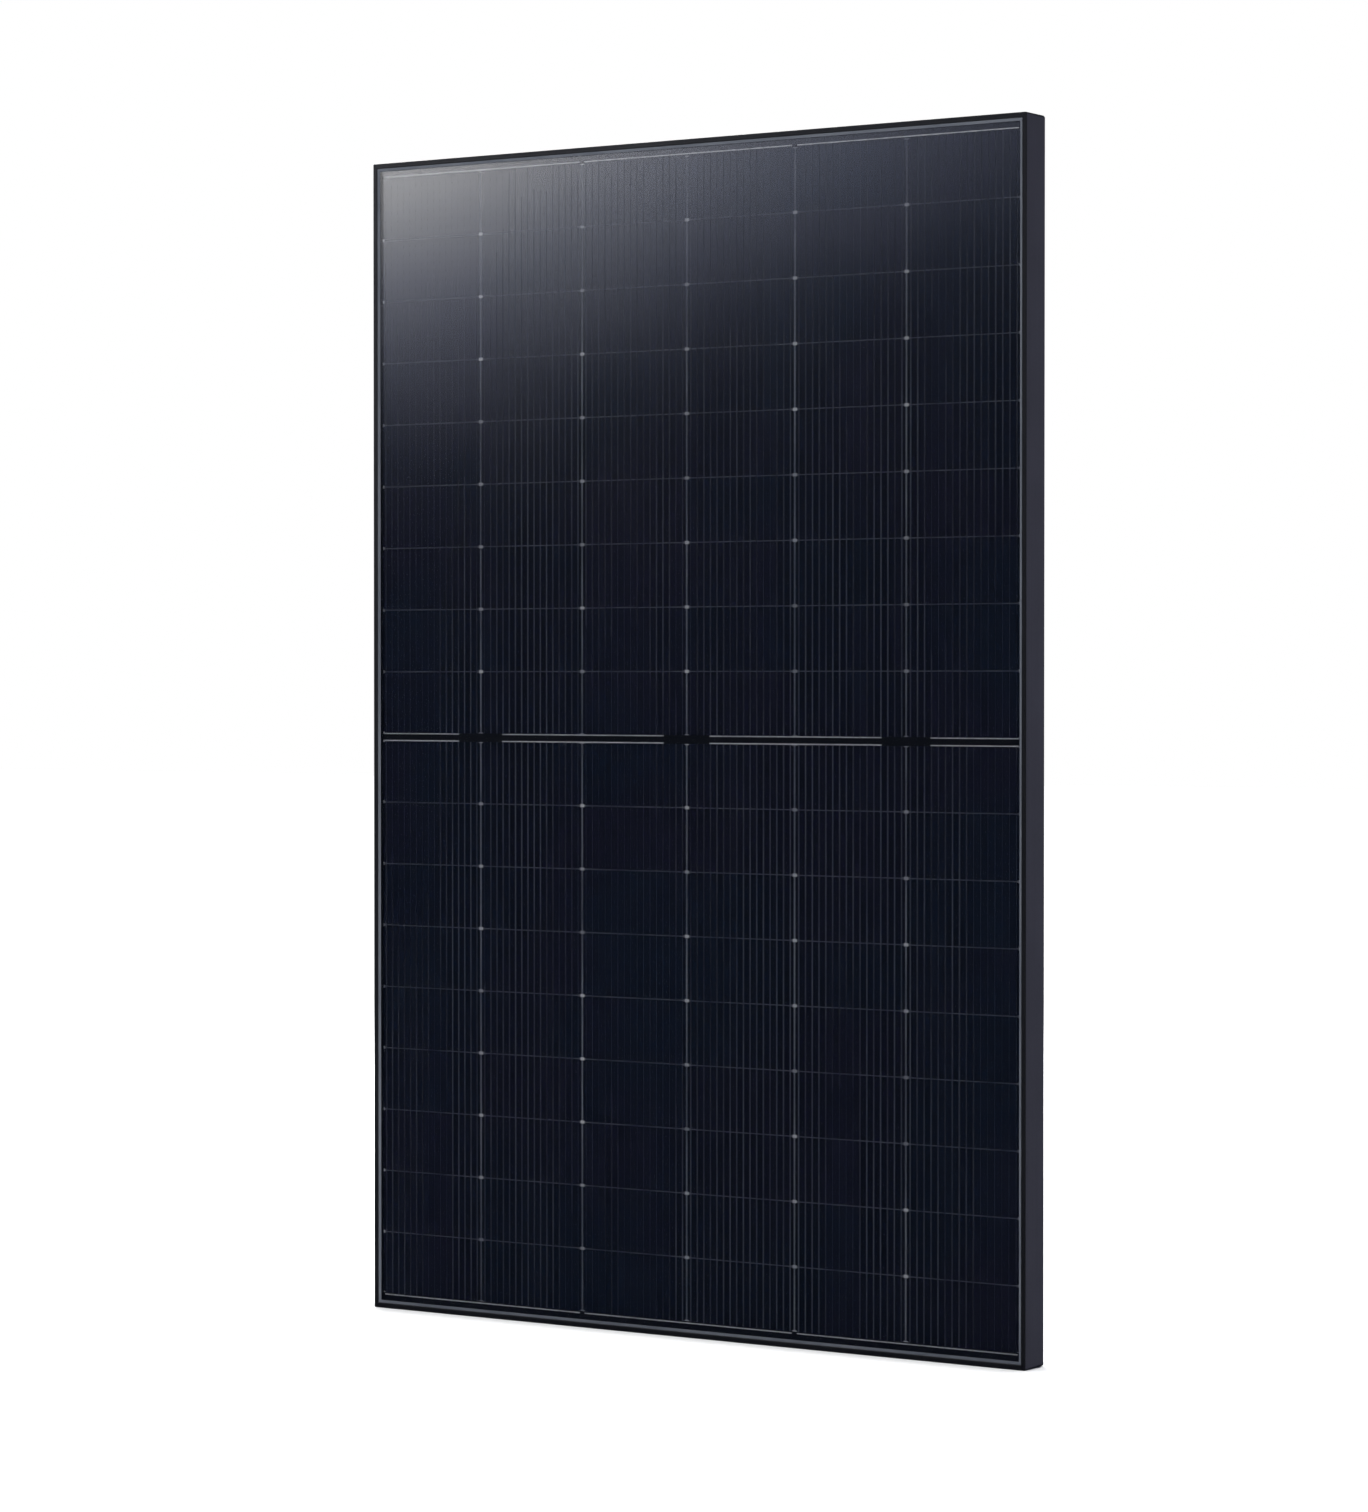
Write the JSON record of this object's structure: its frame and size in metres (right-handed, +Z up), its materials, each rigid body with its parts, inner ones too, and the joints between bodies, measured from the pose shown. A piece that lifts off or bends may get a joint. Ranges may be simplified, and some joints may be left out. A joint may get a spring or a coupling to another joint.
{
  "type": "solar panel",
  "caption": "Upright framed photovoltaic panel with half cells under glass, a black aluminium frame and split junction boxes behind.",
  "frame": {"origin": "centre of the panel's lower edge, midway between its front and rear faces", "axes": "+Z up along the panel's height, glass facing -Y, +X to the right when seen from the front"},
  "size_m": [1.134, 0.05, 1.722],
  "materials": {
    "black_anodised": "satin black anodised",
    "mill_aluminium": "mill",
    "silicone": "satin",
    "solar_glass": "fine textured, low reflection",
    "encapsulant": "clear",
    "silicon_cell": "dark blue-black anti-reflection coating",
    "tinned_copper": "tinned",
    "black_film": "matte black",
    "black_backsheet": "matte black",
    "box_plastic": "moulded black",
    "box_adhesive": "matte",
    "gland_rubber": "matte",
    "diode_epoxy": "moulded epoxy"
  },
  "bodies": {
    "panel": {"frame_rail_left": "black_anodised", "frame_rail_right": "black_anodised", "frame_rail_bottom": "black_anodised", "frame_rail_top": "black_anodised", "corner_key_bottom_left": "mill_aluminium", "corner_key_top_left": "mill_aluminium", "corner_key_bottom_right": "mill_aluminium", "corner_key_top_right": "mill_aluminium", "edge_sealant": "silicone", "front_glass": "solar_glass", "front_encapsulant": "encapsulant", "rear_encapsulant": "encapsulant", "backsheet": "black_backsheet", "cell_string_upper_1": "silicon_cell", "cell_string_upper_2": "silicon_cell", "cell_string_upper_3": "silicon_cell", "cell_string_upper_4": "silicon_cell", "cell_string_upper_5": "silicon_cell", "cell_string_upper_6": "silicon_cell", "cell_string_lower_1": "silicon_cell", "cell_string_lower_2": "silicon_cell", "cell_string_lower_3": "silicon_cell", "cell_string_lower_4": "silicon_cell", "cell_string_lower_5": "silicon_cell", "cell_string_lower_6": "silicon_cell", "wires_upper_a": "tinned_copper", "wires_upper_b": "tinned_copper", "wires_upper_c": "tinned_copper", "wires_lower_a": "tinned_copper", "wires_lower_b": "tinned_copper", "wires_lower_c": "tinned_copper", "centre_ribbon_1": "tinned_copper", "centre_ribbon_2": "tinned_copper", "centre_ribbon_3": "tinned_copper", "centre_ribbon_4": "tinned_copper", "terminal_left_a": "tinned_copper", "terminal_left_b": "tinned_copper", "terminal_middle_a": "tinned_copper", "terminal_middle_b": "tinned_copper", "terminal_right_a": "tinned_copper", "terminal_right_b": "tinned_copper", "cover_strip_centre": "black_film", "cover_strip_top": "black_film", "cover_strip_bottom": "black_film", "box_adhesive_left": "box_adhesive", "box_adhesive_middle": "box_adhesive", "box_adhesive_right": "box_adhesive", "junction_box_base_left": "box_plastic", "junction_box_base_middle": "box_plastic", "junction_box_base_right": "box_plastic", "gland_nut_left": "box_plastic", "gland_nut_right": "box_plastic", "gland_seal_left": "gland_rubber", "gland_seal_right": "gland_rubber", "bypass_diode_left": "diode_epoxy", "bypass_diode_middle": "diode_epoxy", "bypass_diode_right": "diode_epoxy"},
    "lid_left": {"junction_box_lid_left": "box_plastic"},
    "lid_middle": {"junction_box_lid_middle": "box_plastic"},
    "lid_right": {"junction_box_lid_right": "box_plastic"}
  },
  "joints": [
    {"name": "lid_left_lift_off", "type": "slide", "parent": "panel", "child": "lid_left", "axis": [0, 1, 0], "range_m": [0, 0.04]},
    {"name": "lid_middle_lift_off", "type": "slide", "parent": "panel", "child": "lid_middle", "axis": [0, 1, 0], "range_m": [0, 0.04]},
    {"name": "lid_right_lift_off", "type": "slide", "parent": "panel", "child": "lid_right", "axis": [0, 1, 0], "range_m": [0, 0.04]}
  ]
}
